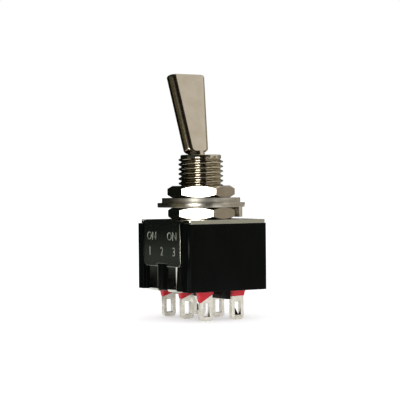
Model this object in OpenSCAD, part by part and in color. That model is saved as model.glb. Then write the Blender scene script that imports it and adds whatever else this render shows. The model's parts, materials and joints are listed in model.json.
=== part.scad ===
// Miniature panel toggle switch: two poles, two throws, flat lever, solder lugs.
// Origin: on the bushing's axis, at the top face of the frame. +Z runs up the bushing.
// +Y is the way the lever leans at rest, and the two poles lie side by side along X.

/* [Case] */
// Length of the case along the throw of the lever
case_len = 13.18; // [12.9:0.01:13.6]
// Width of the case across the poles
case_w = 12.18; // [11.9:0.01:12.4]
// Height of the case under the frame
case_h = 8.75; // [8.7:0.05:9.2]
// Thickness of the end walls
case_wall = 0.9; // [0.7:0.05:1]
// Thickness of the side walls, measured outside the channels
case_side = 1.4; // [1.3:0.05:1.5]
// Thickness of the base
base_t = 1.3; // [1.2:0.05:1.4]
// Radius of the upright corners
case_corner_r = 0.4; // [0.3:0.05:0.6]
// Thickness of the barrier between the poles, inside and under the base
rib_t = 0.6; // [0.5:0.05:0.8]
// How far the barrier stands below the base
rib_drop = 1.05; // [0.8:0.05:1.4]

/* [Frame] */
// Thickness of the sheet
sheet_t = 0.5; // [0.4:0.05:0.6]
// Width of the top plate at its corners
plate_w = 11.7; // [11.5:0.1:11.9]
// Length of the top plate, from the -Y end of the case
plate_len = 12.6; // [12.4:0.05:12.8]
// Half the length of a side flange
flange_half = 4.65; // [4.4:0.05:4.8]
// Height of a side flange
flange_h = 6.05; // [5.8:0.05:6.3]
// Distance from the middle to the near edge of a leg
leg_in = 1.26; // [1:0.02:1.5]
// Width of a leg
leg_w = 2.23; // [1.9:0.01:2.4]
// Thickness of a coined leg
leg_t = 0.4; // [0.3:0.05:0.45]
// Length of the foot that is crimped under the base
foot_len = 0.8; // [0.6:0.05:0.9]

/* [Bushing] */
// Radius over the thread
thread_r = 2.97; // [2.95:0.01:3]
// Distance from one crest of the thread to the next
thread_pitch = 0.635; // [0.6:0.005:0.7]
// Depth of the thread
thread_depth = 0.3; // [0.2:0.01:0.32]
// Height of the bushing above the frame
bushing_h = 8.55; // [8.3:0.05:9]
// Radius of the plain collar at the top
collar_r = 2.7; // [2.65:0.01:2.8]
// Height of the plain collar
collar_h = 0.45; // [0.3:0.05:0.6]
// Height of the lever's pivot above the frame
pivot_z = 4.3; // [4.2:0.05:4.4]
// Radius of the lever's ball
ball_r = 1.9; // [1.85:0.01:1.92]
// Width of the keyway
keyway_w = 0.95; // [0.8:0.05:1]
// Distance from the axis to the floor of the keyway
keyway_floor = 2.5; // [2.48:0.01:2.55]

/* [Lever] */
// Lean of the lever to each side of upright
lean = 14; // [12:0.5:14]
// Width of the paddle at its tip
paddle_top_w = 5.7; // [5:0.05:5.8]
// Width of the paddle at its root
paddle_root_w = 3.55; // [3:0.05:3.7]
// Thickness of the paddle
paddle_t = 1.75; // [1.6:0.05:1.9]
// Distance from the pivot to the root of the paddle
paddle_root = 5; // [4.8:0.05:5.5]
// Distance from the pivot to the tip of the paddle
paddle_tip = 15.5; // [14:0.1:17]
// Radius of the round neck
neck_r = 1.12; // [1:0.01:1.15]
// Radius of the tail
tail_r = 0.95; // [0.9:0.01:1]

/* [Mounting hardware] */
// Nut size across its flats
nut_af = 7.8; // [7.6:0.05:8]
// Thickness of a nut
nut_t = 1.6; // [1.4:0.05:1.7]
// Outside radius of the locating washer
key_washer_r = 5.83; // [5.7:0.01:6]
// Thickness of the locating washer
key_washer_t = 0.6; // [0.5:0.05:0.7]
// Outside radius of the lock washer
lock_washer_r = 5.23; // [5:0.01:5.5]
// Thickness of the lock washer
lock_washer_t = 0.65; // [0.5:0.05:0.8]

/* [Contacts and lugs] */
// Distance between the two poles
pole_pitch = 4.8; // [4.75:0.05:4.85]
// Distance from an end lug to the end of the case
lug_inset = 1.89; // [1.85:0.01:1.95]
// Width of a lug
lug_w = 1.85; // [1.7:0.05:2]
// Thickness of a lug
lug_t = 0.65; // [0.6:0.05:0.8]
// Length of a lug below the base
lug_len = 3.9; // [3.5:0.1:6]
// Tilt of a rocker to each side of level
rocker_tilt = 4; // [3:0.5:4]
// Thickness of a rocker
rocker_t = 0.35; // [0.3:0.05:0.4]
// Radius of a plunger and of its round tip
plunger_r = 0.72; // [0.7:0.01:0.74]

/* [Fits] */
// Radial clearance of the nuts and washers on the thread
thread_clear = 0.05; // [0.04:0.01:0.08]
// Radial clearance of the ball in its seat and of the cross pin in its slots
pivot_clear = 0.04; // [0.02:0.01:0.06]
// Radial clearance of a plunger in its barrel
plunger_clear = 0.05; // [0.03:0.01:0.06]
// Gap between a plunger's tip and its rocker
tip_gap = 0.03; // [0.02:0.01:0.05]
// Gap all round a lug in its slot in the base
lug_clear = 0.04; // [0.02:0.01:0.06]
// Gap between pieces that are fixed together
snug = 0.01; // [0.005:0.005:0.02]

/* [Hidden] */
$fn = 72;
over = 1;
case_top = -sheet_t;
case_bottom = case_top - case_h;
base_top = case_bottom + base_t;
cavity_x = case_w/2 - case_side;
cavity_y = case_len/2 - case_wall;
channel_depth = 0.44;
channel_clear = 0.35;
channel_floor = case_w/2 - channel_depth;
channel_half = flange_half + channel_clear;
barrier_drop = 4.7;
barrier_top = case_top - barrier_drop;
pole_x = pole_pitch/2;
lug_pitch = case_len/2 - lug_inset;

notch_out = 5.5;
notch_depth = 5.1;
plate_corner_r = 0.3;
flange_corner_r = 0.5;
arch_rise = 0.35;
leg_out = leg_in + leg_w;
foot_rise = 0.25;
foot_top = case_bottom + foot_rise;
foot_in = channel_floor - foot_len;
foot_clear = 0.05;

hub_r = 3.2;
bushing_flange_r = 4.2;
bushing_flange_t = 0.7;
bushing_bottom = case_top - bushing_flange_t;
seat_r = ball_r + pivot_clear;
seat_top = 0.9;
seat_mouth_r = sqrt(seat_r*seat_r - seat_top*seat_top);
// The bores flare outwards, and these radii are met just past the bushing's two ends.
mouth_r = 2.5;
tail_bore_r = 2.77;
tail_bore_drop = 1.7;
tail_bore_top = pivot_z - tail_bore_drop;
pin_r = 0.35;
pin_half = 2.12;
pin_slot_half = 2.2;
bore_r = thread_r + thread_clear;
thread_land = 0.24;
thread_top = bushing_h - collar_h;
// Relief in the thread, inside the upper nut, which runs into the first free groove
relief_r = 2.65;
relief_h = 1.4;

paddle_corner_r = 0.35;
shoulder_h = 0.4;
tail_end = 6.1;
stake_r = 0.7;
stake_end = 7.2;
holder_top = -6.15;
holder_floor = -7.6;
holder_x = 3.55;
holder_half = 1.2;
barrel_r = 1.15;
barrel_end = -8.6;
spring_roof = -6.6;
cup_top = -7.4;
cup_floor = -9.5;
cup_bore_r = 0.48;
coil_r = 0.38;
wire_r = 0.07;
coils = 7;

key_washer_z = nut_t;
lock_washer_z = key_washer_z + key_washer_t;
upper_nut_z = lock_washer_z + lock_washer_t;
free_turns = ceil((thread_top - upper_nut_z - nut_t)/thread_pitch);
relief_top = thread_top - (free_turns - 0.5)*thread_pitch;
relief_bottom = relief_top - relief_h;
nut_turn_upper = 23.9;
nut_turn_lower = 19;
nut_corner_r = nut_af/sqrt(3);
nut_bevel_inset = 0.05;
nut_bevel_r = nut_af/2 - nut_bevel_inset;
nut_bevel_slope = tan(30);
tab_half = 1.1;
tab_floor = 0.2;
tab_out = 5.87;
tab_t = 0.55;
tab_bend_r = 0.5;
key_half = 0.4;
key_clear = 0.06;
key_in = keyway_floor + key_clear;
tooth_count = 12;
tooth_root_r = 3.95;
tooth_tip_r = 3.08;
tooth_w = 0.9;
tooth_t = 0.3;
tooth_twist = 18;

// The rocker turns about the middle of its knife edge.
rocker_z = -6.9;
tip_r_from_pivot = pivot_z - rocker_z - rocker_t - plunger_r - tip_gap;
// The plunger's tip at rest, seen from the rocker's axis, and then in the rocker's own frame
tip_y = tip_r_from_pivot*sin(lean);
tip_z = pivot_z - rocker_z - tip_r_from_pivot*cos(lean);
path_y = tip_y*cos(rocker_tilt) - tip_z*sin(rocker_tilt);
path_rise = tip_y*sin(rocker_tilt) + tip_z*cos(rocker_tilt) - rocker_t - plunger_r - tip_gap;
// The dish follows the tip, which keeps the same gap over the whole throw.
dish_r = (path_y*path_y + path_rise*path_rise)/(2*path_rise) + plunger_r + tip_gap;
dish_z = rocker_t + dish_r;
dish_half = 3;
pad_top = dish_z - sqrt(dish_r*dish_r - dish_half*dish_half);
rocker_past_lug = 0.3;
rocker_half_len = lug_pitch + rocker_past_lug;
rocker_half_w = 1;
waist_half_w = 0.8;
waist_half_len = 0.55;
knife_r = 0.3;
button_r = 0.45;
button_t = 0.1;
button_face = pad_top - rocker_t - button_t;
contact_gap = 0.015;
contact_top = rocker_z + button_face*cos(rocker_tilt)
    - (lug_pitch + button_r)*sin(rocker_tilt) - contact_gap;
saddle_drop = 0.06;
saddle_top = rocker_z - saddle_drop;
ear_rise = 0.6;
ear_top = rocker_z + ear_rise;
ear_gap = 0.05;
ear_in = waist_half_w + ear_gap;
ear_out = 1.15;
foot_half = 0.75;
foot_t = 0.65;
rivet_r = 0.6;

lug_end = case_bottom - lug_len;
lug_corner_r = 0.5;
eye_w = 0.95;
eye_drop = 1.57;
eye_len = 1.73;
eye_top = case_bottom - eye_drop;
eye_bottom = eye_top - eye_len;
seal_wall = 0.15;
seal_h = 0.75;

// ---- helpers ----

// A box from its low corner to its high corner
module block(low, high) {
    translate(low) cube(high - low);
}

module both_x() {
    children();
    mirror([1, 0, 0]) children();
}

module both_y() {
    children();
    mirror([0, 1, 0]) children();
}

// An upright box with round corners, centred on the axis
module round_box(w, l, r, low, high) {
    block([-w/2 + r, -l/2, low], [w/2 - r, l/2, high]);
    block([-w/2, -l/2 + r, low], [w/2, l/2 - r, high]);
    both_x() both_y() translate([w/2 - r, l/2 - r, low]) cylinder(r = r, h = high - low);
}

// A quarter round bar along Y, filling the corner at (x, z) outwards and up (up = 1) or down (up = -1)
module quarter_bar(x, z, r, from, to, up) {
    intersection() {
        translate([x, from, z]) rotate([-90, 0, 0]) cylinder(r = r, h = to - from);
        block([x, from, min(z, z + up*r)], [x + r, to, max(z, z + up*r)]);
    }
}

module at_pole(side) {
    translate([side*pole_x, 0, 0]) children();
}

module on_lever() {
    translate([0, 0, pivot_z]) rotate([-lean, 0, 0]) children();
}

// ---- case and frame ----

module case() {
    color("#141716") {
        difference() {
            union() {
                round_box(case_w, case_len, case_corner_r, case_bottom, case_top);
                block([-rib_t/2, -case_len/2, case_bottom - rib_drop],
                    [rib_t/2, case_len/2, case_bottom + over]);
            }
            block([-cavity_x, -cavity_y, base_top], [cavity_x, cavity_y, case_top + over]);
            both_x() {
                block([channel_floor, -channel_half, case_bottom - over],
                    [case_w, channel_half, case_top + over]);
                both_y() block([foot_in - foot_clear, leg_in - foot_clear, case_bottom - over],
                    [case_w, leg_out + foot_clear, foot_top]);
            }
            for (side = [-1, 1], y = [-lug_pitch, 0, lug_pitch])
                at_pole(side) lug_slot(y);
        }
        block([-rib_t/2, -cavity_y - over/2, base_top - over/2],
            [rib_t/2, cavity_y + over/2, barrier_top]);
    }
}

module lug_slot(y) {
    half_w = lug_w/2 + lug_clear;
    half_t = lug_t/2 + lug_clear;
    block([-half_w, y - half_t, case_bottom - over], [half_w, y + half_t, base_top + over]);
}

module frame() {
    color("#c9c8bb") difference() {
        union() {
            translate([0, (plate_len - case_len)/2, 0])
                round_box(plate_w, plate_len, plate_corner_r, case_top, 0);
            both_x() flange();
        }
        translate([0, 0, -over]) cylinder(r = hub_r + snug, h = 2*over);
        both_x() both_y() block([notch_depth, flange_half, -over], [case_w, notch_out, over]);
    }
}

// A side flange on the +X side, with its bend and two crimped legs
module flange() {
    block([notch_depth, -flange_half, case_top], [channel_floor, flange_half, 0]);
    quarter_bar(channel_floor, case_top, sheet_t, -flange_half, flange_half, 1);
    difference() {
        flange_sheet();
        block([0, -leg_in, -flange_h - over], [case_w, leg_in, -flange_h + arch_rise]);
    }
    both_y() {
        block([channel_floor, leg_in, foot_top], [channel_floor + leg_t, leg_out, -flange_h + over]);
        quarter_bar(channel_floor, foot_top, leg_t, leg_in, leg_out, -1);
        block([foot_in, leg_in, foot_top - leg_t], [channel_floor, leg_out, foot_top]);
    }
}

// The flat of a flange, with its lower corners round
module flange_sheet() {
    r = flange_corner_r;
    x = channel_floor;
    block([x, -flange_half, -flange_h + r], [x + sheet_t, flange_half, case_top]);
    block([x, -flange_half + r, -flange_h], [x + sheet_t, flange_half - r, case_top]);
    both_y() translate([x, flange_half - r, -flange_h + r])
        rotate([0, 90, 0]) cylinder(r = r, h = sheet_t);
}

// ---- bushing and lever ----

module bushing() {
    color("#b9b6a4") difference() {
        union() {
            translate([0, 0, bushing_bottom]) cylinder(r = bushing_flange_r, h = bushing_flange_t);
            translate([0, 0, bushing_bottom]) cylinder(r = hub_r, h = -bushing_bottom);
            cylinder(r = thread_r, h = thread_top);
            cylinder(r = collar_r, h = bushing_h);
        }
        translate([0, 0, pivot_z + seat_top])
            cylinder(r1 = seat_mouth_r, r2 = mouth_r, h = bushing_h + over - pivot_z - seat_top);
        translate([0, 0, pivot_z]) sphere(r = seat_r);
        translate([0, 0, tail_bore_top]) cylinder(r = seat_r, h = pivot_z - tail_bore_top);
        translate([0, 0, bushing_bottom - over])
            cylinder(r1 = tail_bore_r, r2 = seat_r, h = tail_bore_top - bushing_bottom + over);
        pin_slots();
        thread_relief();
        thread_grooves(relief_top - thread_pitch/2, thread_top);
        thread_grooves(thread_land, relief_bottom);
        block([keyway_floor, -keyway_w/2, 0], [hub_r + over, keyway_w/2, bushing_h + over]);
    }
}

// Grooves that let the cross pin in from below and hold its ends
module pin_slots() {
    half = pin_r + pivot_clear;
    block([-pin_slot_half, -half, bushing_bottom - over], [pin_slot_half, half, pivot_z]);
    translate([-pin_slot_half, 0, pivot_z]) rotate([0, 90, 0])
        cylinder(r = half, h = 2*pin_slot_half);
}

module thread_relief() {
    translate([0, 0, relief_bottom]) difference() {
        cylinder(r = thread_r + over, h = relief_h);
        translate([0, 0, -over]) cylinder(r = relief_r, h = relief_h + 2*over);
    }
}

// Whole turns of the thread from its high end down, each a ring shaped groove
module thread_grooves(low, high) {
    half = (thread_pitch - thread_land)/2;
    for (z = [high - thread_pitch/2 : -thread_pitch : low + thread_pitch/2 - snug])
        rotate_extrude($fn = 36) polygon([[thread_r - thread_depth, z],
            [thread_r + thread_depth, z - 2*half], [thread_r + thread_depth, z + 2*half]]);
}

module lever() {
    color("#b3a78f") on_lever() difference() {
        union() {
            sphere(r = ball_r);
            cylinder(r = neck_r, h = paddle_root);
            translate([0, 0, paddle_root])
                cylinder(r1 = neck_r, r2 = paddle_t/2, h = shoulder_h);
            paddle();
            translate([0, 0, -tail_end]) cylinder(r = tail_r, h = tail_end);
            translate([0, 0, -stake_end]) cylinder(r = stake_r, h = stake_end);
        }
        translate([-ball_r - over, 0, 0]) rotate([0, 90, 0])
            cylinder(r = pin_r + snug, h = 2*(ball_r + over));
    }
}

// The flat part of the lever: it widens to the tip, and its narrow sides are round
module paddle() {
    half_root = (paddle_root_w - paddle_t)/2;
    half_tip = (paddle_top_w - paddle_t)/2;
    rise = paddle_tip - paddle_root;
    slope = atan((half_tip - half_root)/rise);
    intersection() {
        union() {
            translate([0, paddle_t/2, 0]) rotate([90, 0, 0]) linear_extrude(paddle_t)
                polygon([[-half_root, paddle_root], [half_root, paddle_root],
                    [half_tip, paddle_tip], [-half_tip, paddle_tip]]);
            both_x() translate([half_root, 0, paddle_root]) rotate([0, slope, 0])
                translate([0, 0, -over]) cylinder(r = paddle_t/2, h = rise + 3*over);
        }
        paddle_limits();
    }
}

// Everything between the paddle's root and tip, with the tip's corners round
module paddle_limits() {
    half = paddle_top_w/2;
    r = paddle_corner_r;
    block([-half - over, -paddle_t, paddle_root], [half + over, paddle_t, paddle_tip - r]);
    block([-half + r, -paddle_t, paddle_root], [half - r, paddle_t, paddle_tip]);
    both_x() translate([half - r, paddle_t, paddle_tip - r]) rotate([90, 0, 0])
        cylinder(r = r, h = 2*paddle_t);
}

module pivot_pin() {
    color("#9a9a94") translate([-pin_half, 0, pivot_z]) rotate([0, 90, 0])
        cylinder(r = pin_r, h = 2*pin_half);
}

module holder() {
    color("#e6e0cf") on_lever() difference() {
        union() {
            block([-holder_x, -holder_half, holder_floor], [holder_x, holder_half, holder_top]);
            for (side = [-1, 1]) at_pole(side)
                translate([0, 0, barrel_end]) cylinder(r = barrel_r, h = holder_top - barrel_end);
        }
        for (side = [-1, 1]) at_pole(side) translate([0, 0, barrel_end - over])
            cylinder(r = plunger_r + plunger_clear, h = spring_roof - barrel_end + over);
        translate([0, 0, -stake_end - snug])
            cylinder(r = stake_r + snug, h = stake_end + snug + holder_top + over);
    }
}

module plunger(side) {
    color("#c3b58c") on_lever() at_pole(side) difference() {
        union() {
            translate([0, 0, -tip_r_from_pivot]) cylinder(r = plunger_r, h = tip_r_from_pivot + cup_top);
            translate([0, 0, -tip_r_from_pivot]) sphere(r = plunger_r);
        }
        translate([0, 0, cup_floor]) cylinder(r = cup_bore_r, h = cup_top - cup_floor + over);
    }
}

// A coil spring: the wire's level section, turned as it rises, is an arc of the coil.
module spring(side) {
    low = cup_floor + snug + wire_r;
    pitch = (spring_roof - snug - wire_r - low)/coils;
    reach = 0.98*wire_r/pitch*360;
    steps = 3;
    turn = [for (i = [-steps:steps]) i*reach/steps];
    outer = [for (a = turn) let (r = coil_r + wire_half(a, pitch)) [r*cos(a), r*sin(a)]];
    inner = [for (a = turn) let (r = coil_r - wire_half(-a, pitch)) [r*cos(-a), r*sin(-a)]];
    color("#d8d8d2") on_lever() at_pole(side) translate([0, 0, low])
        linear_extrude(pitch*coils, twist = -360*coils, slices = 12*coils, $fn = 12)
            polygon(concat(outer, inner));
}

function wire_half(a, pitch) = sqrt(max(0, wire_r*wire_r - pow(a/360*pitch, 2)));

// ---- contacts ----

module rocker(side) {
    color("#d9d4c4") at_pole(side) translate([0, 0, rocker_z]) rotate([rocker_tilt, 0, 0]) {
        difference() {
            union() {
                dish();
                both_y() block([-rocker_half_w, dish_half - snug, pad_top - rocker_t],
                    [rocker_half_w, rocker_half_len, pad_top]);
            }
            both_x() block([waist_half_w, -waist_half_len, -over],
                [rocker_half_w + over, waist_half_len, dish_half]);
        }
        both_y() translate([0, lug_pitch, button_face])
            cylinder(r = button_r, h = button_t + rocker_t/2);
        knife_edge();
    }
}

// The middle of a rocker, a shallow dish that the plunger slides in
module dish() {
    intersection() {
        translate([-rocker_half_w, 0, dish_z]) rotate([0, 90, 0]) difference() {
            cylinder(r = dish_r + rocker_t, h = 2*rocker_half_w, $fn = 180);
            translate([0, 0, -over]) cylinder(r = dish_r, h = 2*rocker_half_w + 2*over, $fn = 180);
        }
        block([-rocker_half_w, -dish_half, -over], [rocker_half_w, dish_half, dish_half]);
    }
}

module knife_edge() {
    intersection() {
        translate([-waist_half_w, 0, 0]) rotate([0, 90, 0]) cylinder(r = knife_r, h = 2*waist_half_w);
        block([-waist_half_w, -over, -over], [waist_half_w, over, rocker_t/2]);
    }
}

// The part of a lug below the base: round lower corners and a slot for the wire
module lug_blade(y) {
    half = lug_w/2;
    r = lug_corner_r;
    difference() {
        translate([0, y - lug_t/2, 0]) union() {
            block([-half, 0, lug_end + r], [half, lug_t, base_top]);
            block([-half + r, 0, lug_end], [half - r, lug_t, base_top]);
            both_x() translate([half - r, 0, lug_end + r]) rotate([-90, 0, 0])
                cylinder(r = r, h = lug_t);
        }
        block([-eye_w/2, y - lug_t, eye_bottom], [eye_w/2, y + lug_t, eye_top]);
    }
}

// A middle lug: its inner end is a saddle with two ears, which carries the rocker
module common(side) {
    color("#dcd9cf") at_pole(side) {
        lug_blade(0);
        difference() {
            block([-ear_out, -lug_t/2, base_top], [ear_out, lug_t/2, ear_top]);
            block([-ear_in, -lug_t, saddle_top], [ear_in, lug_t, ear_top + over]);
            translate([-ear_out, 0, rocker_z]) rotate([0, 90, 0])
                cylinder(r = knife_r + snug, h = ear_out + ear_in);
        }
    }
}

// An end lug: its inner end is a foot on the base, with a contact on it
module end_lug(side, y) {
    color("#dcd9cf") at_pole(side) {
        lug_blade(y);
        block([-lug_w/2, y - foot_half, base_top], [lug_w/2, y + foot_half, base_top + foot_t]);
        translate([0, y, base_top]) cylinder(r = rivet_r, h = contact_top - base_top);
    }
}

// Epoxy round the root of a lug
module seal(side, y) {
    half_w = lug_w/2 + snug;
    half_t = lug_t/2 + snug;
    color("#d8323c") at_pole(side) difference() {
        block([-half_w - seal_wall, y - half_t - seal_wall, case_bottom - seal_h],
            [half_w + seal_wall, y + half_t + seal_wall, case_bottom]);
        block([-half_w, y - half_t, case_bottom - seal_h - over], [half_w, y + half_t, over]);
    }
}

// ---- mounting hardware ----

module nut(z, turn) {
    color("#c4c1b4") translate([0, 0, z]) difference() {
        intersection() {
            rotate([0, 0, turn]) cylinder(r = nut_corner_r, h = nut_t, $fn = 6);
            nut_bevels();
        }
        translate([0, 0, -over]) cylinder(r = bore_r, h = nut_t + 2*over);
    }
}

// Turned cone at both ends of a nut, which bevels its six corners
module nut_bevels() {
    out = nut_corner_r + 0.1;
    drop = (out - nut_bevel_r)*nut_bevel_slope;
    rotate_extrude() polygon([[0, 0], [nut_bevel_r, 0], [out, drop], [out, nut_t - drop],
        [nut_bevel_r, nut_t], [0, nut_t]]);
}

// The key runs in the bushing's keyway, and the bent tab goes in a hole in the panel.
module key_washer() {
    z = key_washer_z;
    top = z + key_washer_t;
    color("#c4c1b4") {
        difference() {
            translate([0, 0, z]) cylinder(r = key_washer_r, h = key_washer_t);
            translate([0, 0, z - over]) cylinder(r = bore_r, h = key_washer_t + 2*over);
        }
        block([key_in, -key_half, z], [bore_r + over/2, key_half, top]);
        block([tab_out - tab_t, -tab_half, z], [tab_out - tab_bend_r, tab_half, top]);
        block([tab_out - tab_t, -tab_half, tab_floor], [tab_out, tab_half, top - tab_bend_r]);
        quarter_bar(tab_out - tab_bend_r, top - tab_bend_r, tab_bend_r, -tab_half, tab_half, 1);
    }
}

module lock_washer() {
    color("#c4c1b4") {
        translate([0, 0, lock_washer_z]) difference() {
            cylinder(r = lock_washer_r, h = lock_washer_t);
            translate([0, 0, -over]) cylinder(r = tooth_root_r, h = lock_washer_t + 2*over);
        }
        for (i = [0:tooth_count - 1]) rotate([0, 0, i*360/tooth_count])
            translate([0, 0, lock_washer_z + lock_washer_t/2]) rotate([tooth_twist, 0, 0])
                block([tooth_tip_r, -tooth_w/2, -tooth_t/2],
                    [tooth_root_r + 0.1, tooth_w/2, tooth_t/2]);
    }
}

// ---- one line for each node ----

case();
frame();
bushing();
lever();
pivot_pin();
holder();
plunger(-1);  // plunger_a
plunger(1);  // plunger_b
spring(-1);  // spring_a
spring(1);  // spring_b
rocker(-1);  // rocker_a
rocker(1);  // rocker_b
common(-1);  // common_a
common(1);  // common_b
end_lug(-1, -lug_pitch);  // lug_a1
end_lug(-1, lug_pitch);  // lug_a3
end_lug(1, -lug_pitch);  // lug_b1
end_lug(1, lug_pitch);  // lug_b3
seal(-1, -lug_pitch);  // seal_a1
seal(-1, 0);  // seal_a2
seal(-1, lug_pitch);  // seal_a3
seal(1, -lug_pitch);  // seal_b1
seal(1, 0);  // seal_b2
seal(1, lug_pitch);  // seal_b3
nut(0, nut_turn_lower);  // nut_lower
key_washer();
lock_washer();
nut(upper_nut_z, nut_turn_upper);  // nut_upper
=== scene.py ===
"""Looks for the miniature panel toggle switch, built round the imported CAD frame.

Lengths in this file are in millimetres, in the frame's own axes.
They are scaled to metres when a mesh is made.
"""

import json
import math

import bmesh
import bpy
from mathutils import Matrix, Vector, noise


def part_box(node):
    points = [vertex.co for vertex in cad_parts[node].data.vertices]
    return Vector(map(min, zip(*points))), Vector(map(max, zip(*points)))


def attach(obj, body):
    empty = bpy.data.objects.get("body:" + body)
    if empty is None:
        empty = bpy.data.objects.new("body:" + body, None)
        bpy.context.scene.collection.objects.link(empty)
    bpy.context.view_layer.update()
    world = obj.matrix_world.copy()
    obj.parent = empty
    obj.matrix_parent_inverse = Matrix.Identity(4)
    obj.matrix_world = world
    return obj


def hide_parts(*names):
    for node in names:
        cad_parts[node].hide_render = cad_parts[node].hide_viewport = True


MM = 0.001
PITCH = 0.635  # the thread: 40 turns to the inch
COLUMNS = 144  # points round a threaded piece
ROWS = 14  # points along one pitch of the thread

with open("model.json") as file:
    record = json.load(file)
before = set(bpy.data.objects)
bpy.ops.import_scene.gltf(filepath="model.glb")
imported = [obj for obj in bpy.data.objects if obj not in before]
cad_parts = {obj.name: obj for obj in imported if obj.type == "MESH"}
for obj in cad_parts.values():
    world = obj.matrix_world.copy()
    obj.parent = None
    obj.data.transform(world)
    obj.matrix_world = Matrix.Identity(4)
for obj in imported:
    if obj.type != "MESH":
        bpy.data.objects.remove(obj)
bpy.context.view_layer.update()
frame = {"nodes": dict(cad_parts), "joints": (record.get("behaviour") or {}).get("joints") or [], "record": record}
record = frame["record"]
body_of = {n: b for b, names in record["behaviour"]["bodies"].items() for n in names}


def box(node):
    """A node's low and high corners, in millimetres."""
    low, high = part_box(node)
    return low / MM, high / MM


lever_joint = next(j for j in frame["joints"] if j["name"] == "lever")
PIVOT_Z = lever_joint["pos_m"][2] / MM
LEAN = math.radians(lever_joint["range_deg"][1] / 2)
THREAD_R = next(m for m in record["mounts"] if m["name"] == "bushing")["dims"]["r_mm"]
bushing_low, bushing_high = box("bushing")
CASE_BOTTOM = box("seal_a1")[1].z
FLOOR_Z = box("lug_a1")[0].z


# ---- camera ----

VIEW_AZIMUTH = math.radians(-31.8)
VIEW_ELEVATION = math.radians(0.45)
VIEW_ROLL = math.radians(0.55)
VIEW_DISTANCE = 190.0
VIEW_LENS = 128.25
VIEW_SHIFT = 0.147  # how far the camera stands to the left
VIEW_RISE = 2.544  # how far it stands above the origin


def make_camera():
    """The photo's view, fitted to its outlines."""
    a, e, r = VIEW_AZIMUTH, VIEW_ELEVATION, VIEW_ROLL
    back = Vector((math.sin(a) * math.cos(e), -math.cos(a) * math.cos(e), math.sin(e)))
    right = Vector((math.cos(a), math.sin(a), 0))
    up = back.cross(right)
    place = back * VIEW_DISTANCE - right * VIEW_SHIFT + up * VIEW_RISE
    x_axis = right * math.cos(r) - up * math.sin(r)
    y_axis = right * math.sin(r) + up * math.cos(r)
    data = bpy.data.cameras.new("camera")
    data.lens = VIEW_LENS
    data.sensor_width = 36
    data.clip_start, data.clip_end = 0.01, 50
    camera = bpy.data.objects.new("camera", data)
    bpy.context.scene.collection.objects.link(camera)
    turn = Matrix((x_axis, y_axis, back)).transposed()
    camera.matrix_world = Matrix.Translation(place * MM) @ turn.to_4x4()
    bpy.context.scene.camera = camera


make_camera()


# ---- materials ----


def shader(name):
    """A new node material: (material, its tree, its Principled shader)."""
    material = bpy.data.materials.new(name)
    material.use_nodes = True
    tree = material.node_tree
    return material, tree, tree.nodes["Principled BSDF"]


def coordinates(tree, stretch=(1, 1, 1)):
    """Object coordinates in millimetres, stretched along the axes."""
    source = tree.nodes.new("ShaderNodeTexCoord")
    mapping = tree.nodes.new("ShaderNodeMapping")
    mapping.inputs["Scale"].default_value = [s / MM for s in stretch]
    tree.links.new(source.outputs["Object"], mapping.inputs["Vector"])
    return mapping.outputs["Vector"]


def grain(tree, vector, per_mm, detail=3.0, rough=0.5):
    """Noise with that many features to the millimetre."""
    node = tree.nodes.new("ShaderNodeTexNoise")
    node.inputs["Scale"].default_value = per_mm
    node.inputs["Detail"].default_value = detail
    node.inputs["Roughness"].default_value = rough
    tree.links.new(vector, node.inputs["Vector"])
    return node.outputs["Fac"]


def spread(tree, value, low, high, start=0.3, stop=0.7):
    """The noise value between start and stop, mapped to low and high."""
    node = tree.nodes.new("ShaderNodeMapRange")
    node.inputs["From Min"].default_value = start
    node.inputs["From Max"].default_value = stop
    node.inputs["To Min"].default_value = low
    node.inputs["To Max"].default_value = high
    tree.links.new(value, node.inputs["Value"])
    return node.outputs["Result"]


# The colour sockets of a Mix node, whose names other sockets share.
MIX_A = 6
MIX_B = 7
MIX_RESULT = 2


def mix(tree, factor, colour_a, colour_b):
    """Two colours, or the outputs of two nodes, mixed by a factor."""
    node = tree.nodes.new("ShaderNodeMix")
    node.data_type = "RGBA"
    if isinstance(factor, float):
        node.inputs["Factor"].default_value = factor
    else:
        tree.links.new(factor, node.inputs["Factor"])
    for socket, colour in ((node.inputs[MIX_A], colour_a), (node.inputs[MIX_B], colour_b)):
        if isinstance(colour, tuple):
            socket.default_value = (*colour, 1)
        else:
            tree.links.new(colour, socket)
    return node.outputs[MIX_RESULT]


def bump(tree, target, heights):
    """Bump from (height output, depth in millimetres) pairs."""
    last = None
    for height, depth in heights:
        node = tree.nodes.new("ShaderNodeBump")
        node.inputs["Strength"].default_value = 1.0
        node.inputs["Distance"].default_value = depth * MM
        tree.links.new(height, node.inputs["Height"])
        if last is not None:
            tree.links.new(last, node.inputs["Normal"])
        last = node.outputs["Normal"]
    tree.links.new(last, target.inputs["Normal"])


def metal(name, bright, dull, rough, marks=(1, 1, 1), mark_scale=6.0, mark_depth=0.0006,
          pits=0.0, patch=0.35):
    """A plated or ground metal: two tones in soft patches, fine tool marks along the stretch, and pits."""
    material, tree, bsdf = shader(name)
    plain = coordinates(tree)
    along = coordinates(tree, marks)
    patches = grain(tree, plain, patch, 4, 0.6)
    lines = grain(tree, along, mark_scale, 4, 0.6)
    colour = mix(tree, spread(tree, patches, 0, 1, 0.35, 0.68), bright, dull)
    if pits:
        speck = spread(tree, grain(tree, plain, 7, 2, 0.5), 0, pits, 0.68, 0.74)
        colour = mix(tree, speck, colour, tuple(0.35 * c for c in dull))
    tree.links.new(colour, bsdf.inputs["Base Color"])
    tree.links.new(spread(tree, lines, rough[0], rough[1], 0.3, 0.7), bsdf.inputs["Roughness"])
    bsdf.inputs["Metallic"].default_value = 1.0
    bump(tree, bsdf, [(lines, mark_depth), (patches, mark_depth * 4)])
    return material


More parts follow.
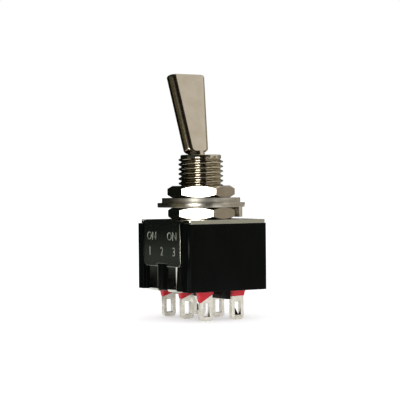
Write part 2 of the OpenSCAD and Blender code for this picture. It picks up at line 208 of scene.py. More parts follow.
lever_nickel = metal("lever_nickel", (0.50, 0.44, 0.34), (0.45, 0.385, 0.29), (0.12, 0.19),
                     mark_scale=9, mark_depth=0.0005, pits=0.35, patch=0.5)
bushing_nickel = metal("bushing_nickel", (0.50, 0.45, 0.35), (0.40, 0.35, 0.25), (0.10, 0.2),
                       marks=(1, 1, 6), mark_scale=5, mark_depth=0.0004, pits=0.25, patch=0.6)
nut_nickel = metal("nut_nickel", (0.56, 0.51, 0.43), (0.47, 0.42, 0.34), (0.09, 0.17),
                   marks=(1, 1, 5), mark_scale=4, mark_depth=0.0005, pits=0.2, patch=0.4)
washer_steel = metal("washer_steel", (0.62, 0.58, 0.50), (0.46, 0.43, 0.37), (0.22, 0.34),
                     marks=(1, 1, 4), mark_scale=5, mark_depth=0.0009, pits=0.3, patch=0.7)
spring_washer_steel = metal("spring_washer_steel", (0.62, 0.59, 0.52), (0.46, 0.43, 0.37), (0.34, 0.46),
                            marks=(1, 1, 4), mark_scale=5, mark_depth=0.0012, pits=0.4, patch=0.8)
frame_steel = metal("frame_steel", (0.60, 0.60, 0.53), (0.52, 0.53, 0.47), (0.08, 0.17),
                    marks=(1, 0.25, 1), mark_scale=7, mark_depth=0.0006, pits=0.15, patch=0.5)
engraved_steel = metal("engraved_steel", (0.82, 0.84, 0.80), (0.66, 0.68, 0.64), (0.55, 0.7),
                       mark_scale=14, mark_depth=0.004, patch=2)
lug_plate = metal("lug_plate", (0.84, 0.82, 0.75), (0.66, 0.63, 0.54), (0.2, 0.38),
                  mark_scale=1.6, mark_depth=0.006, pits=0.3, patch=0.9)
pin_steel = metal("pin_steel", (0.58, 0.58, 0.57), (0.48, 0.48, 0.48), (0.14, 0.24), marks=(4, 1, 1))
plunger_brass = metal("plunger_brass", (0.72, 0.58, 0.30), (0.60, 0.46, 0.22), (0.16, 0.28), marks=(1, 1, 5))
spring_steel = metal("spring_steel", (0.72, 0.72, 0.70), (0.60, 0.60, 0.58), (0.18, 0.28))
contact_silver = metal("contact_silver", (0.84, 0.82, 0.77), (0.66, 0.62, 0.54), (0.14, 0.28),
                       marks=(1, 0.3, 1))


def black_moulding_material():
    """Glossy black phenolic with faint flow marks."""
    material, tree, bsdf = shader("black_moulding")
    plain = coordinates(tree)
    flow = grain(tree, coordinates(tree, (1, 1, 0.35)), 0.4, 4, 0.6)
    fine = grain(tree, plain, 12, 3, 0.6)
    colour = mix(tree, spread(tree, flow, 0, 1), (0.0014, 0.0023, 0.0019), (0.0026, 0.0036, 0.0031))
    tree.links.new(colour, bsdf.inputs["Base Color"])
    tree.links.new(spread(tree, flow, 0.12, 0.2), bsdf.inputs["Roughness"])
    bsdf.inputs["Specular IOR Level"].default_value = 0.07
    bump(tree, bsdf, [(fine, 0.0012), (flow, 0.006)])
    return material


def epoxy_material():
    """Red cast epoxy with a few paler bubbles."""
    material, tree, bsdf = shader("seal_epoxy")
    plain = coordinates(tree)
    depth = grain(tree, plain, 0.9, 3, 0.5)
    bubbles = grain(tree, plain, 5, 2, 0.5)
    colour = mix(tree, spread(tree, depth, 0, 1), (0.80, 0.008, 0.03), (0.66, 0.008, 0.02))
    colour = mix(tree, spread(tree, bubbles, 0, 0.6, 0.66, 0.76), colour, (0.9, 0.22, 0.25))
    tree.links.new(colour, bsdf.inputs["Base Color"])
    tree.links.new(spread(tree, depth, 0.16, 0.3), bsdf.inputs["Roughness"])
    bsdf.inputs["Subsurface Weight"].default_value = 0.25
    bsdf.inputs["Subsurface Radius"].default_value = (1.0, 0.2, 0.15)
    bsdf.inputs["Subsurface Scale"].default_value = 0.3 * MM
    bsdf.inputs["Specular IOR Level"].default_value = 0.3
    bsdf.inputs["Coat Weight"].default_value = 0.15
    bsdf.inputs["Coat Roughness"].default_value = 0.08
    bump(tree, bsdf, [(depth, 0.05), (bubbles, 0.006)])
    return material


def nylon_material():
    """Natural nylon."""
    material, tree, bsdf = shader("holder_nylon")
    plain = coordinates(tree)
    flow = grain(tree, plain, 0.5, 3, 0.5)
    fine = grain(tree, plain, 10, 3, 0.6)
    colour = mix(tree, spread(tree, flow, 0, 1), (0.80, 0.76, 0.66), (0.70, 0.65, 0.54))
    tree.links.new(colour, bsdf.inputs["Base Color"])
    tree.links.new(spread(tree, fine, 0.38, 0.52), bsdf.inputs["Roughness"])
    bsdf.inputs["Subsurface Weight"].default_value = 0.3
    bsdf.inputs["Subsurface Scale"].default_value = 0.5 * MM
    bump(tree, bsdf, [(fine, 0.002)])
    return material


black_moulding = black_moulding_material()
seal_epoxy = epoxy_material()
holder_nylon = nylon_material()


# ---- mesh helpers ----


def new_piece(name, bm, material, nodes):
    """Makes an object from a bmesh in millimetres, puts it on the body of its first CAD node with its finish, and
    hides the CAD nodes that it stands in for.
    """
    bmesh.ops.recalc_face_normals(bm, faces=bm.faces)
    bm.transform(Matrix.Scale(MM, 4))
    mesh = bpy.data.meshes.new(name)
    bm.to_mesh(mesh)
    bm.free()
    for extra in [a.name for a in mesh.attributes if a.name == "custom_normal"]:
        mesh.attributes.remove(mesh.attributes[extra])
    piece = bpy.data.objects.new(name, mesh)
    bpy.context.scene.collection.objects.link(piece)
    mesh.materials.clear()
    mesh.materials.append(material)
    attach(piece, body_of[nodes[0]])
    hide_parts(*nodes)
    return piece


def apply_modifiers(piece):
    """Bakes the piece's modifiers into its mesh."""
    bpy.context.view_layer.update()
    graph = bpy.context.evaluated_depsgraph_get()
    mesh = bpy.data.meshes.new_from_object(piece.evaluated_get(graph))
    old = piece.data
    piece.modifiers.clear()
    piece.data = mesh
    mesh.name = old.name
    bpy.data.meshes.remove(old)


def smooth(piece, angle=35):
    """Smooth shading, with the edges over that many degrees kept sharp."""
    limit = math.radians(angle)
    bm = bmesh.new()
    bm.from_mesh(piece.data)
    for face in bm.faces:
        face.smooth = True
    for edge in bm.edges:
        edge.smooth = len(edge.link_faces) == 2 and edge.calc_face_angle(0) < limit
    bm.to_mesh(piece.data)
    bm.free()


def soften(piece, width, segments=2, angle=38):
    """Rounds the piece's edges, and keeps its flats flat to the eye."""
    bevel = piece.modifiers.new("bevel", "BEVEL")
    bevel.width = width * MM
    bevel.segments = segments
    bevel.limit_method = "ANGLE"
    bevel.angle_limit = math.radians(angle)
    bevel.miter_outer = "MITER_ARC"
    bevel.use_clamp_overlap = True
    apply_modifiers(piece)
    smooth(piece, 50)
    weigh(piece)


def weigh(piece):
    """Lets the large faces lead the shading, so that flats stay flat."""
    weighted = piece.modifiers.new("flats", "WEIGHTED_NORMAL")
    weighted.keep_sharp = True
    weighted.weight = 80


def cad_copy(node):
    """A bmesh of a CAD node in millimetres, with its flats merged into single faces."""
    bm = bmesh.new()
    bm.from_mesh(frame["nodes"][node].data)
    bm.transform(Matrix.Scale(1 / MM, 4))
    bmesh.ops.remove_doubles(bm, verts=bm.verts, dist=0.002)
    bmesh.ops.dissolve_limit(bm, angle_limit=math.radians(0.6), verts=bm.verts, edges=bm.edges)
    return bm


def add_block(bm, low, high):
    """A closed box between two corners."""
    corners = [bm.verts.new((x, y, z))
               for x in (low[0], high[0]) for y in (low[1], high[1]) for z in (low[2], high[2])]
    for quad in ((0, 1, 3, 2), (4, 6, 7, 5), (0, 4, 5, 1), (2, 3, 7, 6), (0, 2, 6, 4), (1, 5, 7, 3)):
        bm.faces.new([corners[i] for i in quad])


def add_rod(bm, start, end, radius, points=48):
    """A closed round rod between two points."""
    axis = (Vector(end) - Vector(start)).normalized()
    side = axis.orthogonal().normalized()
    other = axis.cross(side)
    rings = []
    for centre in (start, end):
        rings.append([Vector(centre) + (side * math.cos(t) + other * math.sin(t)) * radius
                      for t in (2 * math.pi * i / points for i in range(points))])
    add_loft(bm, rings, closed=False)


def add_loft(bm, rings, closed=True):
    """Skins a list of rings of points. Closed joins the last ring to the first.

    Otherwise both ends are capped.
    """
    rows = [[bm.verts.new(p) for p in ring] for ring in rings]
    count = len(rows[0])
    last = len(rows) if closed else len(rows) - 1
    for r in range(last):
        low, high = rows[r], rows[(r + 1) % len(rows)]
        for i in range(count):
            j = (i + 1) % count
            bm.faces.new((low[i], low[j], high[j], high[i]))
    if not closed:
        bm.faces.new(rows[0][::-1])
        bm.faces.new(rows[-1])


def cut(piece, bm_cutter):
    """Takes the cutter's shape, in millimetres, out of the piece."""
    bmesh.ops.recalc_face_normals(bm_cutter, faces=bm_cutter.faces)
    bm_cutter.transform(Matrix.Scale(MM, 4))
    mesh = bpy.data.meshes.new("cutter")
    bm_cutter.to_mesh(mesh)
    bm_cutter.free()
    cutter = bpy.data.objects.new("cutter", mesh)
    bpy.context.scene.collection.objects.link(cutter)
    boolean = piece.modifiers.new("cut", "BOOLEAN")
    boolean.operation = "DIFFERENCE"
    boolean.solver = "EXACT"
    boolean.object = cutter
    apply_modifiers(piece)
    bpy.data.objects.remove(cutter)
    bpy.data.meshes.remove(mesh)


# ---- thread, bushing and nuts ----

THREAD_DEPTH = 0.36
THREAD_TOP = 8.1
THREAD_FADE = 0.12  # length over which the thread runs out
CREST_FLAT = 0.2  # share of the half pitch that is crest
FLANK = 0.7  # share of the half pitch that is flank
CREST_Z = 0.05  # height of a crest at the +X side
SEAT_RISE = 0.9  # from the pivot to the rim of the ball's seat
PIN_SLOT_HALF = 0.39  # half the width of the cross pin's slots
PIN_SLOT_OUT = 2.2  # how far from the axis the slots reach


def thread_radius(place):
    """Radius of the thread at a place in its pitch, where 0 is the middle of a crest."""
    away = abs((place + 0.5) % 1 - 0.5) * 2
    t = min(1, max(0, (away - CREST_FLAT) / FLANK))
    return THREAD_R - THREAD_DEPTH * t * t * (3 - 2 * t)


def add_thread(bm, low, high, low_r, high_r, fade, gap=0.0, turn=0.0):
    """A threaded tube whose rows climb with the thread. It runs out to a plain radius at both ends."""
    total = ROWS + math.ceil((high - low) / PITCH * ROWS) + 1
    rows = []
    for q in range(total + 1):
        base = low - PITCH + q / ROWS * PITCH
        place = (base - CREST_Z) / PITCH - turn / (2 * math.pi)
        row = []
        for i in range(COLUMNS):
            z = min(high, max(low, base + i / COLUMNS * PITCH))
            r = thread_radius(place) + gap
            a = min(1, (z - low) / fade)
            b = min(1, (high - z) / fade)
            r = low_r + (r - low_r) * a * a * (3 - 2 * a)
            r = high_r + (r - high_r) * b * b * (3 - 2 * b)
            t = turn + 2 * math.pi * i / COLUMNS
            row.append(bm.verts.new((r * math.cos(t), r * math.sin(t), z)))
        rows.append(row)
    for q in range(total):
        for i in range(COLUMNS):
            if i + 1 < COLUMNS:
                right_low, right_high = rows[q][i + 1], rows[q + 1][i + 1]
            else:
                right_low = rows[min(q + ROWS, total)][0]
                right_high = rows[min(q + 1 + ROWS, total)][0]
            corners = [rows[q][i], right_low, right_high, rows[q + 1][i]]
            unique = [v for k, v in enumerate(corners) if v not in corners[:k]]
            if len(unique) > 2 and bm.faces.get(unique) is None:
                bm.faces.new(unique)


def ring(r, z, turn=0.0):
    """A ring of points; r and z may depend on the angle."""
    points = []
    for i in range(COLUMNS):
        t = turn + 2 * math.pi * i / COLUMNS
        radius = r(i) if callable(r) else r
        height = z(i) if callable(z) else z
        points.append(Vector((radius * math.cos(t), radius * math.sin(t), height)))
    return points


def add_profile(bm, profile, turn=0.0):
    """Skins the rings of a turned profile, without joining its two ends."""
    rows = [[bm.verts.new(p) for p in ring(r, z, turn)] for r, z in profile]
    for low, high in zip(rows, rows[1:]):
        for i in range(COLUMNS):
            j = (i + 1) % COLUMNS
            bm.faces.new((low[i], low[j], high[j], high[i]))


def tidy(bm):
    """Merges points that fall together, and drops the faces that this leaves empty."""
    bmesh.ops.remove_doubles(bm, verts=bm.verts, dist=0.0004)
    bmesh.ops.dissolve_degenerate(bm, edges=bm.edges, dist=0.0004)


def make_bushing():
    """The threaded stem, with the ball's seat, the keyway and the cross pin's slots."""
    top, bottom, flange_r = bushing_high.z, bushing_low.z, bushing_high.y
    start_r, collar_r, seat_r, mouth_r, hub_r = 2.9, 2.7, 1.94, 2.32, 3.2
    seat_top, tail_top = PIVOT_Z + SEAT_RISE, PIVOT_Z - 1.7
    flange_top = -0.5
    keyway_floor, keyway_half = 2.5, 0.475
    bm = bmesh.new()
    add_thread(bm, 0, THREAD_TOP, start_r, collar_r, THREAD_FADE)
    profile = [(collar_r, THREAD_TOP), (collar_r, top - 0.13), (collar_r - 0.04, top - 0.05),
               (collar_r - 0.12, top), (mouth_r + 0.05, top), (mouth_r, top - 0.05)]
    steps = 10
    seat_r_top = math.sqrt(seat_r**2 - SEAT_RISE**2)
    profile.append((seat_r_top, seat_top))
    rise = math.asin(SEAT_RISE / seat_r)
    for k in range(1, steps + 1):
        a = rise * (1 - k / steps)
        profile.append((seat_r * math.cos(a), PIVOT_Z + seat_r * math.sin(a)))
    profile += [(seat_r, tail_top), (2.6, bottom), (flange_r - 0.08, bottom), (flange_r, bottom + 0.08),
                (flange_r, flange_top - 0.08), (flange_r - 0.08, flange_top), (hub_r, flange_top),
                (hub_r, 0), (start_r, 0)]
    add_profile(bm, profile)
    tidy(bm)
    piece = new_piece("threaded_bushing", bm, bushing_nickel, ["bushing"])
    tools = bmesh.new()
    add_block(tools, (keyway_floor, -keyway_half, 0), (flange_r, keyway_half, top + 1))
    add_block(tools, (-PIN_SLOT_OUT, -PIN_SLOT_HALF, bottom - 1), (PIN_SLOT_OUT, PIN_SLOT_HALF, PIVOT_Z))
    cut(piece, tools)
    tools = bmesh.new()
    add_rod(tools, (-PIN_SLOT_OUT, 0, PIVOT_Z), (PIN_SLOT_OUT, 0, PIVOT_Z), PIN_SLOT_HALF)
    cut(piece, tools)
    smooth(piece, 40)
    weigh(piece)


def make_nut(node, name, turn):
    """A hexagon nut with round bevels, a countersunk thread and sharp corners."""
    low, high = box(node)[0].z, box(node)[1].z
    half_af, bevel_r, slope = 3.9, 3.83, math.tan(math.radians(30))
    sink_r, bore_r, thread_gap = 3.13, 3.02, 0.03
    turn = math.radians(turn)
    per_face = COLUMNS // 6

    def hex_r(i):
        off = (i % per_face) * 2 * math.pi / COLUMNS - math.pi / 6
        return half_af / math.cos(off)

    def bevel_z(i, up):
        fall = max(0, hex_r(i) - bevel_r) * slope
        return high - fall if up else low + fall

    bm = bmesh.new()
    inner = 0.16
    add_thread(bm, low + inner, high - inner, bore_r, bore_r, THREAD_FADE, gap=thread_gap, turn=turn)
    profile = [(bore_r, high - inner), (sink_r, high - 0.02), (sink_r + 0.03, high), (bevel_r - 0.04, high),
               (bevel_r, high - 0.008),
               (lambda i: hex_r(i) - 0.03, lambda i: bevel_z(i, True) + 0.012),
               (hex_r, lambda i: bevel_z(i, True) - 0.03),
               (hex_r, lambda i: bevel_z(i, False) + 0.03),
               (lambda i: hex_r(i) - 0.03, lambda i: bevel_z(i, False) - 0.012),
               (bevel_r, low + 0.008), (bevel_r - 0.04, low), (sink_r + 0.03, low), (sink_r, low + 0.02),
               (bore_r, low + inner)]
    add_profile(bm, profile, turn)
    tidy(bm)
    piece = new_piece(name, bm, nut_nickel, [node])
    smooth(piece, 25)
    weigh(piece)


make_bushing()
make_nut("nut_lower", "lower_nut", 19)
make_nut("nut_upper", "upper_nut", 23.9)


# ---- lever ----


def rounded_section(half_w, half_t, corner, per_corner=16):
    """Points round a rounded rectangle, in the X-Y plane, starting at +X +Y."""
    corner = min(corner, half_w, half_t)
    points = []
    for k, (sx, sy) in enumerate(((1, 1), (-1, 1), (-1, -1), (1, -1))):
        for i in range(per_corner):
            t = math.pi / 2 * (k + i / (per_corner - 1))
            x = sx * (half_w - corner) + corner * math.cos(t)
            y = sy * (half_t - corner) + corner * math.sin(t)
            points.append((x, y))
    return points


def make_lever():
    """The staked tail, ball, neck and flat paddle, lofted along the lever and then leaned."""
    half_t = 0.875
    pin_hole_r = 0.36
    root, tip = 5.0, 15.5
    root_w, tip_w = 1.775, 2.85
    neck_r, ball_r, tail_r, stake_r = 1.12, 1.9, 0.95, 0.7
    tip_corner, tip_edge = 0.35, 0.16
    sections = []

    def at(s, half_w, thick, corner):
        sections.append([Vector((x, y, s)) for x, y in rounded_section(half_w, thick, corner)])

    def disc(s, r):
        at(s, r, r, r)

    disc(-7.2, stake_r - 0.1)
    disc(-7.1, stake_r)
    disc(-6.1, stake_r)
    disc(-6.1, tail_r - 0.05)
    disc(-6.05, tail_r)
    low = -math.sqrt(ball_r**2 - tail_r**2)
    high = math.sqrt(ball_r**2 - neck_r**2)
    disc(low - 0.06, tail_r)
    steps = 18
    start, stop = math.asin(low / ball_r), math.asin(high / ball_r)
    for k in range(steps + 1):
        a = start + (stop - start) * k / steps
        disc(ball_r * math.sin(a), ball_r * math.cos(a))
    disc(high + 0.08, neck_r)
    disc(root - 0.34, neck_r)

    def width(s):
        return root_w + (tip_w - root_w) * (s - root) / (tip - root)

    for k in range(9):
        t = k / 8
        swell = math.sin(t * math.pi / 2)
        s = root - 0.30 + 0.42 * (1 - math.cos(t * math.pi / 2))
        half_w = neck_r + (width(s) - neck_r) * swell
        thick = neck_r + (half_t - neck_r) * swell
        at(s, half_w, thick, thick)
    body_steps = 24
    body_from, body_to = root + 0.3, tip - tip_corner
    for k in range(body_steps + 1):
        s = body_from + (body_to - body_from) * k / body_steps
        at(s, width(s), half_t, half_t)
    for k in range(1, 13):
        a = math.pi / 2 * k / 12
        s = body_to + tip_corner * math.sin(a)
        inset = tip_corner * (1 - math.cos(a))
        over = max(0, s - (tip - tip_edge)) / tip_edge
        pinch = tip_edge * (1 - math.sqrt(max(0, 1 - over * over)))
        at(s, width(s) - inset, half_t - pinch, half_t - pinch)
    bm = bmesh.new()
    add_loft(bm, sections, closed=False)
    tidy(bm)
    lean = Matrix.Translation((0, 0, PIVOT_Z)) @ Matrix.Rotation(-LEAN, 4, "X")
    bm.transform(lean)
    piece = new_piece("flat_lever", bm, lever_nickel, ["lever"])
    tools = bmesh.new()
    add_rod(tools, (-3, 0, PIVOT_Z), (3, 0, PIVOT_Z), pin_hole_r)
    cut(piece, tools)
    smooth(piece, 40)
    weigh(piece)


make_lever()


# ---- washers, frame, case and lugs ----


def dressed(node, name, material, width, segments=2):
    """A CAD node with its edges rounded, as its own piece."""
    piece = new_piece(name, cad_copy(node), material, [node])
    soften(piece, width, segments)
    return piece


dressed("key_washer", "locating_washer", washer_steel, 0.09, 3)
dressed("lock_washer", "tooth_lock_washer", spring_washer_steel, 0.06, 3)
dressed("case", "moulded_case", black_moulding, 0.07, 2)
for lug_name in ("common_a", "common_b", "lug_a1", "lug_a3", "lug_b1", "lug_b3"):
    dressed(lug_name, "solder_" + lug_name, lug_plate, 0.08, 3)


ENGRAVING_DEPTH = 0.06
LETTER_THICK = 0.1  # half the thickness of a letter solid
CAPITAL_SHARE = 0.7  # height of a capital as a share of the font's size
FLANGE_EDGE = 0.24  # rounding of the side flanges' upright edges


def engraving(text, centre_y, centre_z, height):
    """Closed letter solids that cut into the flange on the -X side."""
    curve = bpy.data.curves.new("letters", "FONT")
    curve.body = text
    curve.size = height / CAPITAL_SHARE * MM
    curve.align_x = "CENTER"
    curve.extrude = LETTER_THICK * MM
    curve.resolution_u = 3
    letters = bpy.data.objects.new("letters", curve)
    bpy.context.scene.collection.objects.link(letters)
    bpy.context.view_layer.update()
    graph = bpy.context.evaluated_depsgraph_get()
    mesh = bpy.data.meshes.new_from_object(letters.evaluated_get(graph))
    bm = bmesh.new()
    bm.from_mesh(mesh)
    bpy.data.objects.remove(letters)
    bpy.data.curves.remove(curve)
    bpy.data.meshes.remove(mesh)
    bm.transform(Matrix.Scale(1 / MM, 4))
    bmesh.ops.remove_doubles(bm, verts=bm.verts, dist=0.001)
    turn = Matrix(((0, 0, -1), (-1, 0, 0), (0, 1, 0))).to_4x4()
    outer = box("frame")[0].x
    place = (outer - LETTER_THICK + ENGRAVING_DEPTH, centre_y, centre_z - height / 2)
    bm.transform(Matrix.Translation(place) @ turn)
    return bm


def is_flange_edge(edge):
    """Is this an upright outer edge of a side flange or of one of its legs?"""
    a, b = (v.co for v in edge.verts)
    outer = box("frame")[1].x
    upright = abs(a.x - b.x) < 0.01 and abs(a.y - b.y) < 0.01 and abs(a.z - b.z) > 0.5
    return upright and abs(a.x) > outer - 0.2 and edge.calc_face_angle(0) > 1


def make_frame():
    """The folded cover, with generic marks cut into its -X flange."""
    bm = cad_copy("frame")
    upright = [e for e in bm.edges if is_flange_edge(e)]
    bmesh.ops.bevel(bm, geom=upright, offset=FLANGE_EDGE, segments=3, profile=0.5, affect="EDGES")
    piece = new_piece("steel_frame", bm, frame_steel, ["frame"])
    soften(piece, 0.07, 3)
    for text, y, z, height in (("ON", 2.6, -2.1, 1.1), ("ON", -2.6, -2.1, 1.1), ("1", 3.1, -4.1, 1.15),
                               ("2", 0, -4.1, 1.15), ("3", -3.1, -4.1, 1.15)):
        cut(piece, engraving(text, y, z, height))
    piece.data.materials.append(engraved_steel)
    floor_x = (box("frame")[0].x + ENGRAVING_DEPTH) * MM
    for face in piece.data.polygons:
        if abs(face.center.x - floor_x) < 0.01 * MM and abs(face.normal.x) > 0.9:
            face.material_index = 1
    smooth(piece, 50)
    weigh(piece)


make_frame()


# ---- epoxy at the roots of the lugs ----


def make_seal(node, lug, length, tilt, seed):
    """A dab of epoxy: it flares on the base, hugs the lug and ends in a slanted, uneven edge."""
    low, high = box(lug)
    x_mid = (low.x + high.x) / 2
    y_mid = (box(node)[0].y + box(node)[1].y) / 2
    half_w, half_t = 0.925, 0.325
    per = 10
    steps = 14
    rings = []

    def edge_length(x, y):
        wave = noise.noise(Vector((x * 1.3, y * 1.3, seed)))
        return length + tilt * x / half_w + 0.12 * wave

    def skin(v, off):
        points = []
        for x, y in rounded_section(half_w + off, half_t + off, 0.06 + off, per):
            z = CASE_BOTTOM - edge_length(x, y) * v
            points.append(Vector((x_mid + x, y_mid + y, z)))
        return points

    for k in range(steps + 1):
        v = k / steps
        flare = 0.24 * (1 - v) ** 4
        belly = 0.15 * math.sqrt(max(0, 1 - v**3))
        rings.append(skin(v, 0.012 + flare + belly))
    rings.append(skin(0.98, 0.004))
    rings.append(skin(0.0, 0.004))
    bm = bmesh.new()
    add_loft(bm, rings, closed=True)
    piece = new_piece("epoxy_" + node[5:], bm, seal_epoxy, [node])
    smooth(piece, 60)


for seal_node, seal_lug, seal_length, seal_tilt, seal_seed in (
    ("seal_a1", "lug_a1", 0.95, -0.5, 1.0),
    ("seal_a2", "common_a", 0.9, -0.35, 2.0),
    ("seal_a3", "lug_a3", 0.85, -0.3, 3.0),
    ("seal_b1", "lug_b1", 0.78, -0.03, 4.0),
    ("seal_b2", "common_b", 0.7, 0.05, 5.0),
    ("seal_b3", "lug_b3", 0.8, 0.1, 6.0),
):
    make_seal(seal_node, seal_lug, seal_length, seal_tilt, seal_seed)


# ---- inner parts, which keep their CAD shapes ----

for inner, material in (("pivot_pin", pin_steel), ("holder", holder_nylon),
                        ("plunger_a", plunger_brass), ("plunger_b", plunger_brass),
                        ("spring_a", spring_steel), ("spring_b", spring_steel),
                        ("rocker_a", contact_silver), ("rocker_b", contact_silver)):
    node = frame["nodes"][inner]
    node.data.materials.clear()
    node.data.materials.append(material)


# ---- floor, light, background and cards that paint reflections ----

FLOOR_GLOW = 0.45
WORLD_FILL = 0.9
REFLECTION_WALL_DISTANCE = 0.9  # metres from the object to a wall card that paints a reflection


def make_floor():
    """A pale floor that keeps the object's shadow, and looks white to the camera."""
    size = 4.0
    mesh = bpy.data.meshes.new("floor")
    z = FLOOR_Z * MM
    corners = [(-size, -size, z), (size, -size, z), (size, size, z), (-size, size, z)]
    mesh.from_pydata(corners, [], [(0, 1, 2, 3)])
    floor = bpy.data.objects.new("floor", mesh)
    bpy.context.scene.collection.objects.link(floor)
    material = bpy.data.materials.new("floor")
    material.use_nodes = True
    tree = material.node_tree
    tree.nodes.remove(tree.nodes["Principled BSDF"])
    diffuse = tree.nodes.new("ShaderNodeBsdfDiffuse")
    diffuse.inputs["Color"].default_value = (0.8, 0.8, 0.8, 1)
    glow = tree.nodes.new("ShaderNodeEmission")
    total = tree.nodes.new("ShaderNodeAddShader")
    path = tree.nodes.new("ShaderNodeLightPath")
    seen = seen_directly(tree, path)
    strength = tree.nodes.new("ShaderNodeMath")
    strength.operation = "MULTIPLY"
    strength.inputs[1].default_value = FLOOR_GLOW
    tree.links.new(seen, strength.inputs[0])
    tree.links.new(strength.outputs[0], glow.inputs["Strength"])
    tree.links.new(diffuse.outputs[0], total.inputs[0])
    tree.links.new(glow.outputs[0], total.inputs[1])
    tree.links.new(total.outputs[0], tree.nodes["Material Output"].inputs["Surface"])
    mesh.materials.append(material)


def seen_directly(tree, path):
    """1 for camera, glossy and transmission rays."""
    value = path.outputs["Is Camera Ray"]
    for name in ("Is Glossy Ray", "Is Transmission Ray"):
        most = tree.nodes.new("ShaderNodeMath")
        most.operation = "MAXIMUM"
        tree.links.new(value, most.inputs[0])
        tree.links.new(path.outputs[name], most.inputs[1])
        value = most.outputs[0]
    return value


def make_world():
    """White to the camera and in reflections, and a plain fill elsewhere."""
    world = bpy.data.worlds.new("studio")
    bpy.context.scene.world = world
    world.use_nodes = True
    tree = world.node_tree
    background = tree.nodes["Background"]
    background.inputs["Color"].default_value = (1, 1, 1, 1)
    path = tree.nodes.new("ShaderNodeLightPath")
    strength = tree.nodes.new("ShaderNodeMapRange")
    strength.inputs["To Min"].default_value = WORLD_FILL
    strength.inputs["To Max"].default_value = 1.0
    tree.links.new(seen_directly(tree, path), strength.inputs["Value"])
    tree.links.new(strength.outputs["Result"], background.inputs["Strength"])


CAMERA_SIDE = math.radians(-90) + VIEW_AZIMUTH


def toward(azimuth, elevation):
    """A direction: azimuth in degrees to the right of the camera, as seen from the object."""
    t, e = CAMERA_SIDE + math.radians(azimuth), math.radians(elevation)
    return Vector((math.cos(t) * math.cos(e), math.sin(t) * math.cos(e), math.sin(e)))


def make_reflection_wall(name, azimuths, elevations, colour):
    """A card beside the set whose colour paints a reflection in the metal: only reflections see it, and the camera
    doesn't.
    """
    make_reflection_card(name, azimuths, elevations, colour,
               lambda azimuth, elevation: toward(azimuth, elevation) * REFLECTION_WALL_DISTANCE)


def make_reflection_floor_card(name, azimuths, reaches, colour):
    """A card on the floor, between two distances from the object, whose colour paints a reflection in the metal.
    """
    lift = Vector((0, 0, (FLOOR_Z + 0.1) * MM))
    make_reflection_card(name, azimuths, reaches, colour, lambda azimuth, reach: toward(azimuth, 0) * reach + lift)


def make_reflection_card(name, azimuths, rows, colour, place):
    """A curved card that only reflections see: it sends no light to diffuse surfaces and casts no shadow, and its
    colour paints a reflection in the metal. Its rows are elevations or reaches, and place turns azimuth and row
    into a point.
    """
    across, up = 16, 8
    points = []
    for i in range(across + 1):
        for j in range(up + 1):
            azimuth = azimuths[0] + (azimuths[1] - azimuths[0]) * i / across
            row = rows[0] + (rows[1] - rows[0]) * j / up
            points.append(place(azimuth, row))
    faces = []
    for i in range(across):
        for j in range(up):
            k = i * (up + 1) + j
            faces.append((k, k + up + 1, k + up + 2, k + 1))
    mesh = bpy.data.meshes.new(name)
    mesh.from_pydata([p[:] for p in points], [], faces)
    reflection_card = bpy.data.objects.new(name, mesh)
    bpy.context.scene.collection.objects.link(reflection_card)
    # Only glossy and transmission rays see the card, so its colour is a painted reflection and nothing more.
    reflection_card.visible_camera = False
    reflection_card.visible_diffuse = False
    reflection_card.visible_shadow = False
    material = bpy.data.materials.new(name)
    material.use_nodes = True
    tree = material.node_tree
    tree.nodes.remove(tree.nodes["Principled BSDF"])
    # The card's colour, which is the painted reflection.
    card_colour_shader = tree.nodes.new("ShaderNodeBsdfDiffuse")
    card_colour_shader.inputs["Color"].default_value = (*colour, 1)
    tree.links.new(card_colour_shader.outputs[0], tree.nodes["Material Output"].inputs["Surface"])
    mesh.materials.append(material)


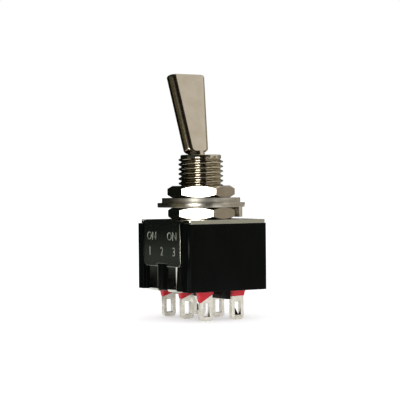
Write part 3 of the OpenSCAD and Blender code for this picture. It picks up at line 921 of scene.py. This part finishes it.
def make_lamp(name, azimuth, elevation, distance, size, strength):
    """A softbox that faces the object; strength is its brightness, where 1 is white."""
    light = bpy.data.lights.new(name, "AREA")
    light.shape = "RECTANGLE"
    light.size, light.size_y = size
    light.energy = strength * math.pi * size[0] * size[1]
    lamp = bpy.data.objects.new(name, light)
    bpy.context.scene.collection.objects.link(lamp)
    way = toward(azimuth, elevation)
    lamp.location = way * distance
    lamp.rotation_mode = "QUATERNION"
    lamp.rotation_quaternion = way.to_track_quat("Z", "Y")


make_floor()
make_world()
# Wall cards that only reflections see: each colour is a painted reflection, the tone the metal shows when it faces
# that way, dark to the left, in front and behind, pale to the right.
for name, azimuths, elevations, colour in (
    ("reflection_wall_left", (-178, -84), (-1, 86), (0.010, 0.013, 0.011)),
    ("reflection_wall_left_low", (-84, -31), (-1, 12), (0.15, 0.13, 0.065)),
    ("reflection_wall_left_high", (-84, -40), (12, 86), (0.07, 0.095, 0.09)),
    ("reflection_wall_over_lamp", (-40, -4), (12, 80), (0.04, 0.04, 0.022)),
    ("reflection_wall_front", (-4, 30), (-1, 80), (0.018, 0.014, 0.009)),
    ("reflection_wall_front_high", (30, 60), (13, 80), (0.04, 0.036, 0.022)),
    ("reflection_wall_right_low", (30, 78), (-1, 9), (0.62, 0.57, 0.48)),
    ("reflection_wall_right", (78, 152), (-1, 16), (0.50, 0.45, 0.38)),
    ("reflection_wall_behind", (152, 182), (-1, 40), (0.03, 0.028, 0.025)),
):
    make_reflection_wall(name, azimuths, elevations, colour)
# Floor cards that only reflections see: each colour is a painted reflection of the floor in the metal, dark to the
# left and in front, pale to the right.
for name, azimuths, reaches, colour in (
    ("reflection_floor_left_near", (-178, -72), (0.03, 0.11), (0.0, 0.0, 0.0)),
    ("reflection_floor_left_middle", (-178, -72), (0.11, 0.26), (0.055, 0.062, 0.055)),
    ("reflection_floor_left_far", (-178, -72), (0.26, 0.9), (0.006, 0.009, 0.007)),
    ("reflection_floor_left_front", (-72, -6), (0.05, 0.9), (0.15, 0.13, 0.065)),
    ("reflection_floor_front", (-6, 30), (0.05, 0.9), (0.02, 0.016, 0.01)),
    ("reflection_floor_right", (50, 155), (0.05, 0.9), (0.50, 0.47, 0.40)),
):
    make_reflection_floor_card(name, azimuths, reaches, colour)
make_lamp("softbox", -17.5, 3.4, 0.6, (0.235, 0.095), 12.0)

scene = bpy.context.scene
scene.view_settings.view_transform = "Standard"
